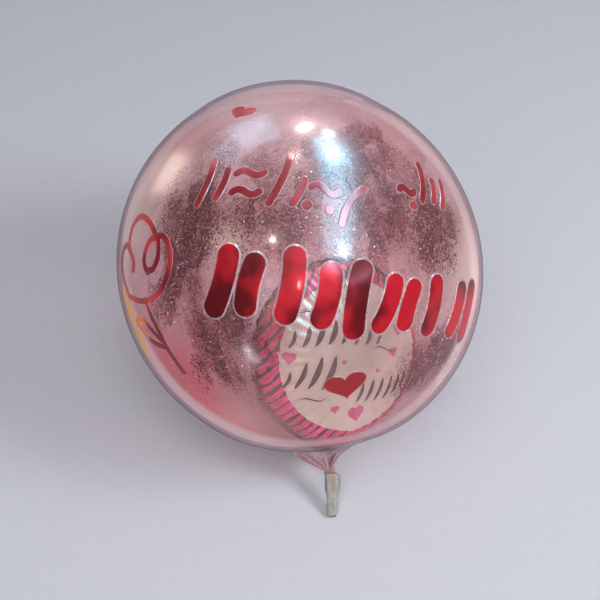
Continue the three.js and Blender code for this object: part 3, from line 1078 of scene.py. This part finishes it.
def script_layers(patch, kind, sizes):
    if kind == "dot":
        x, y, radius = sizes
        return filled_layers(patch, round_outline(radius), (x, y), SCRIPT_MARGIN)
    places = slash(*sizes) if kind == "slash" else wave(*sizes)
    return stroke_layers(patch, places, SCRIPT_WIDTH, SCRIPT_MARGIN)


def make_stickers():
    clear = vinyl_margin_finish()
    brick, red, deep, petal = vinyl_finishes()
    made = Counter()
    for patch, row in SCRIPT_ROWS:
        for kind, *sizes in row:
            made[kind] += 1
            name = f"script_{kind}_{made[kind]}"
            make_sticker(name, script_layers(patch, kind, sizes), [brick, clear])
    bars = [(patch, width, sizes) for patch, width, row in BAR_ROWS for sizes in row]
    for number, (patch, width, sizes) in enumerate(bars, 1):
        layers = stroke_layers(patch, slash(*sizes), width, BAR_MARGIN)
        make_sticker(f"bar_{number}", layers, [red, clear])
    for name, (patch, width, height) in HEARTS.items():
        layers = filled_layers(patch, heart_outline(width, height), (0, 0), HEART_MARGIN)
        make_sticker(name, layers, [deep, clear])
    lines = [
        stroke_layers(FLOWER_PATCH, line, FLOWER_WIDTH, FLOWER_MARGIN) for line in FLOWER_LINES
    ]
    make_sticker("flower", join_layers(lines), [petal, clear])


# ---- the foil balloon inside --------------------

DISC_SPOKES = 420
DISC_RINGS = 84
DISC_NECK_HALF_ANGLE = 3.2
DISC_NECK_FALL = 20
DOME_ROUNDNESS = 0.52
DOME_FOLDS = 0.2
SCALLOP = 0.9
SEAM_RIPPLE = 1.6
SEAM_NARROWING = 0.8
FILM_GAP = 8
FAR_FROM_INK = 99.0


def disc_outline(angles):
    """The seam's distance from the middle: a round that runs down into a point and a neck."""
    down = np.abs((np.degrees(angles) + 90 + 180) % 360 - 180)
    tangent = math.degrees(math.acos(DISC_RADIUS / DISC_TIP))
    slope = DISC_RADIUS / np.cos(np.radians(np.maximum(tangent - down, 0)))
    neck = DISC_NECK - DISC_NECK_FALL * (down / DISC_NECK_HALF_ANGLE) ** 2
    scallop = SCALLOP * np.abs(np.sin(23 * angles + 0.6 * np.sin(5 * angles)))
    return np.maximum(slope, neck) + scallop


def disc_height(share, angles):
    """How far the front stands out from the seam's plane, with creases near the seam."""
    dome = DISC_BULGE * np.maximum(1 - share**2, 0) ** DOME_ROUNDNESS
    folds = 0.5 * np.cos(46 * angles + 1.2 * np.sin(3 * angles)) + 0.5 * np.cos(31 * angles + 2)
    return dome * (1 + DOME_FOLDS * folds * share**6)


def tucked(points):
    """Keeps the points of the foil inside the film, down to the gather of the neck."""
    neck = -leaning(-NECK_TILT)
    reach = np.minimum(points @ neck, GATHER_REACH - 1)
    beside = points - (points @ neck)[:, None] * neck
    wide = np.maximum(np.linalg.norm(beside, axis=1), 1e-6)
    share = np.clip((reach - FLARE_BASE) / (GATHER_REACH - FLARE_BASE), 0, 1)
    ball = np.sqrt(np.maximum((BALL_RADIUS - FILM_GAP) ** 2 - reach**2, 0))
    room = np.maximum(ball, 0.72 * flare_radius(share, 1.0) - 1)
    return beside * np.minimum(1, room / wide)[:, None] + reach[:, None] * neck


def disc_points(side):
    """The points of one face, from the middle outwards, in the disc's own plane."""
    angles = round_angles(DISC_SPOKES)
    reach = disc_outline(angles)
    rows = []
    for share in np.sin(np.linspace(0, np.pi / 2, DISC_RINGS))[1:]:
        radii = reach * share
        height = side * disc_height(share, angles)
        rows.append(np.column_stack([radii * np.cos(angles), height, radii * np.sin(angles)]))
    return rows, angles, reach


def seam_points(angles, reach):
    """The flat seam outside the domes, gently waved."""
    on_neck = reach > DISC_RADIUS * 1.25
    radii = reach + SEAM_WIDTH * (1 - SEAM_NARROWING * on_neck)
    ripple = SEAM_RIPPLE * np.sin(23 * angles + 1) * np.cos(9 * angles)
    return np.column_stack([radii * np.cos(angles), ripple, radii * np.sin(angles)])


def stroke_distance(places, marks):
    """The distance from each place to the nearest brush mark's edge, below 0 within it."""
    nearest = np.full(len(places), FAR_FROM_INK)
    for line, width in marks:
        spine = curve_through(line, 1.5)
        shares = np.linspace(0, 1, len(spine))
        half = width / 2 * (0.16 + 0.84 * np.sin(np.pi * shares) ** 0.8)
        for (a, b), size in zip(zip(spine, spine[1:]), half):
            run = b - a
            share = np.clip(((places - a) @ run) / (run @ run), 0, 1)
            gap = np.linalg.norm(places - a - np.outer(share, run), axis=1) - size
            nearest = np.minimum(nearest, gap)
    return nearest


def heart_distance(places, hearts):
    """The distance to the nearest heart's edge, below 0 within it.

    A heart is a tilted square with a half round on each upper side.
    """
    nearest = np.full(len(places), FAR_FROM_INK)
    for x, y, width, turn in hearts:
        size = width / 1.2
        t = math.radians(turn)
        u, v = (places - np.array([x, y])).T / size
        across = np.abs(u * math.cos(t) + v * math.sin(t))
        up = v * math.cos(t) - u * math.sin(t) + 0.55
        lobe = np.hypot(across - 0.25, up - 0.75) - 0.3536
        slope = np.maximum(across + up, 0) / 2
        side = np.minimum(np.hypot(across, up - 1), np.hypot(across - slope, up - slope))
        gap = np.where(across + up > 1, lobe, side * np.sign(across - up))
        nearest = np.minimum(nearest, gap * size)
    return nearest


# Two rows of tapered brush dabs, all leaning one way: where each lies, its length and width.
BRUSH_DABS = [
    (-84, 27, 24, 5), (-67, 30, 28, 6.5), (-50, 33, 32, 7.5),
    (-33, 34, 32, 7.5), (-16, 33, 30, 7), (1, 29, 26, 6.5),
    (17, 26, 22, 6), (33, 24, 19, 5), (-91, -27, 26, 5),
    (-74, -20, 36, 6.5), (-56, -17, 44, 8), (-38, -18, 46, 8.5),
    (6, -47, 28, 5.5), (21, -46, 32, 6), (36, -46, 33, 6),
    (51, -45, 33, 6), (65, -42, 29, 5.5), (78, -36, 22, 4.5),
]
DAB_LEAN = 22
DAB_BOW = 2.5

# Thin waves: where each lies, its length, rise, lean and width.
BRUSH_WAVES = [(-48, 60, 60, 3, 4, 2.6), (44, 8, 42, 3, -6, 2.2), (-58, -52, 44, 3, 6, 2.4)]

# Printed hearts: where each lies, its width and turn.
PRINTED_HEARTS = [
    (-66, 62, 8, 14), (-88, 3, 17, -10), (58, 2, 15, 12),
    (68, 30, 18, -14), (-18, -5, 7, 10), (32, -20, 7, -14),
    (-26, -68, 12, 10), (4, -76, 24, 10), (88, -6, 6, 0),
    (20, 78, 14, -8), (-28, 84, 9, 20), (60, 66, 9, 12),
]


def brush_marks():
    marks = []
    for x, y, length, width in BRUSH_DABS:
        marks.append((slash(x, y, length, DAB_LEAN, DAB_BOW), width))
    for x, y, length, rise, lean, width in BRUSH_WAVES:
        marks.append((wave(x, y, length, rise, lean), width))
    return marks


def make_foil_balloon():
    front, angles, reach = disc_points(-1)
    back, _, _ = disc_points(1)
    rings = front + [seam_points(angles, reach)] + back[::-1]
    bulge = disc_height(0, 0)
    flat, faces = loft(rings, (0, -bulge, 0), (0, bulge, 0))
    turn = np.array(Matrix.Rotation(math.radians(DISC_YAW), 3, "Z"))
    points = tucked(flat @ turn.T + np.array(DISC_PLACE))
    foil = build("foil_balloon", points, faces, [printed_foil_finish()])
    across, depth, up = flat.T
    places = np.column_stack([across, up])
    reach = np.hypot(across, up)
    ink = np.where(depth <= 0, stroke_distance(places, brush_marks()), FAR_FROM_INK)
    note(foil, "panel_edge", reach - PANEL_RADIUS)
    note(foil, "ink_edge", ink)
    note(foil, "heart_edge", heart_distance(places, PRINTED_HEARTS))
    note(foil, "seam_share", reach / disc_outline(np.arctan2(up, across)))
    note_places(foil, "flat_place", flat[:, [0, 2, 1]])


# ---- floor, light and camera --------------------

# The camera looks from a little above the balloon's own front. Places are in metres, and
# the lens and its sensor in millimetres.
VIEW_ABOVE = 6
VIEW_DISTANCE = 1.5
VIEW_LENS = 68.3
SENSOR_WIDTH = 36
AIM_BELOW = 0.0414
FLOOR_HALF = 4.0
GLINT_DISTANCE = 2.0
STUDIO_COLOR = (0.86, 0.82, 0.88, 1)
STUDIO_STRENGTH = 0.24


def around(azimuth, elevation, distance):
    """A place at a distance from the middle of the ball, over the floor."""
    return BALL_MIDDLE + Vector(direction(azimuth, elevation)) * distance


VIEW_RIGHT = Vector((1, 0, 0))
VIEW_TOWARD = Vector(direction(0, math.degrees(LEAN) + VIEW_ABOVE)).normalized()
VIEW_UP = VIEW_TOWARD.cross(VIEW_RIGHT)
CAMERA_PLACE = BALL_MIDDLE + VIEW_TOWARD * VIEW_DISTANCE


def add_lamp(name, place, size, power, color=(1, 1, 1), lean=0):
    """A rectangular lamp that faces the ball. It leans, in degrees, from the view's upright."""
    lamp = bpy.data.lights.new(name, "AREA")
    lamp.shape = "RECTANGLE"
    lamp.size, lamp.size_y = size
    lamp.energy = power
    lamp.color = color
    holder = placed(name, lamp)
    back = (place - BALL_MIDDLE).normalized()
    side = VIEW_UP.cross(back).normalized()
    facing = Matrix([side, back.cross(side), back]).transposed()
    turn = facing @ Matrix.Rotation(math.radians(lean), 3, "Z")
    holder.matrix_world = Matrix.Translation(place) @ turn.to_4x4()
    holder.visible_camera = False
    return holder


def add_soft_lamp(name, place, size, power, shadow):
    """Lights the scene but doesn't show in anything shiny."""
    lamp = add_lamp(name, place, size, power)
    lamp.visible_glossy = False
    lamp.data.use_shadow = shadow


def add_glint(name, across, up, size, glow, color, lean):
    """A lamp that shows only in shiny things.

    Its reflection lies at shares of the ball's radius right of and above the middle.
    """
    normal = VIEW_RIGHT * across + VIEW_UP * up + VIEW_TOWARD * math.sqrt(1 - across**2 - up**2)
    touch = BALL_MIDDLE + normal * BALL_RADIUS * MM
    sight = (CAMERA_PLACE - touch).normalized()
    place = touch + (2 * normal.dot(sight) * normal - sight) * GLINT_DISTANCE
    lamp = add_lamp(name, place, size, glow * math.pi * size[0] * size[1], color, lean)
    lamp.visible_diffuse = False
    lamp.visible_transmission = False


def make_stage():
    mesh = bpy.data.meshes.new("floor")
    corners = [(-1, -1), (1, -1), (1, 1), (-1, 1)]
    mesh.from_pydata([(x * FLOOR_HALF, y * FLOOR_HALF, 0) for x, y in corners], [], [(0, 1, 2, 3)])
    mesh.materials.append(floor_finish())
    placed("floor", mesh)


# Glints: across, up, width and height in metres, glow, colour and lean.
GLINTS = {
    "strip": (0.2, 0.33, (0.72, 3.0), 20, (0.14, 0.68, 0.95), -14),
    "strip_core": (0.2, 0.36, (0.3, 1.9), 18, (0.4, 0.85, 1.0), -12),
    "upper_halo": (0.168, 0.56, (0.34, 0.8), 29, (0.25, 0.78, 1.0), -8),
    "lower_halo": (0.208, 0.1, (0.34, 0.4), 34, (0.25, 0.78, 1.0), 0),
    "blue_patch": (-0.2, 0.66, (0.9, 0.7), 8, (0.46, 0.8, 1.0), 9),
    "blue_strip": (-0.26, 0.6, (0.7, 1.1), 8, (0.46, 0.8, 1.0), 6),
    "cream_pane": (-0.64, 0.45, (0.7, 0.6), 6, (1.0, 0.88, 0.78), 20),
    "low_pane": (-0.22, -0.44, (0.16, 0.7), 34, (0.75, 0.9, 1.0), 10),
    "bulb_box": (0.044, 0.676, (0.26, 0.14), 208, (1.0, 0.98, 0.95), 0),
    "warm_spot": (-0.01, 0.53, (0.14, 0.16), 117, (1.0, 0.93, 0.86), 0),
    "star_1": (0.16, 0.65, (0.1, 0.14), 338, (0.8, 0.95, 1.0), 0),
    "star_2": (0.172, 0.551, (0.12, 0.18), 260, (0.8, 0.95, 1.0), 0),
    "star_3": (0.208, 0.085, (0.1, 0.1), 390, (0.85, 0.97, 1.0), 0),
    "star_4": (-0.12, 0.127, (0.08, 0.08), 416, (1.0, 0.97, 0.9), 0),
    "star_5": (0.0, -0.075, (0.06, 0.06), 286, (1.0, 0.9, 0.9), 0),
    "low_star": (0.344, -0.844, (0.1, 0.2), 338, (0.8, 0.95, 1.0), 0),
}


def make_light():
    world = bpy.data.worlds.new("studio")
    bpy.context.scene.world = world
    world.use_nodes = True
    background = world.node_tree.nodes["Background"]
    background.inputs["Color"].default_value = STUDIO_COLOR
    background.inputs["Strength"].default_value = STUDIO_STRENGTH
    add_soft_lamp("key", around(72, 42, 3.6), size=(1.2, 1.2), power=72, shadow=True)
    add_soft_lamp("fill", around(-10, 62, 3.0), size=(2.2, 2.2), power=51, shadow=False)
    for name, glint in GLINTS.items():
        add_glint(name, *glint)


def make_camera():
    camera = bpy.data.cameras.new("camera")
    camera.lens = VIEW_LENS
    camera.sensor_width = SENSOR_WIDTH
    holder = placed("camera", camera)
    holder.location = CAMERA_PLACE
    aim = BALL_MIDDLE - VIEW_UP * AIM_BELOW - holder.location
    holder.rotation_euler = aim.to_track_quat("-Z", "Y").to_euler()
    bpy.context.scene.camera = holder


make_camera()
make_film()
make_tape()
make_stickers()
make_foil_balloon()
make_stage()
make_light()
bpy.context.scene.view_settings.view_transform = "Standard"

bpy.context.view_layer.update()
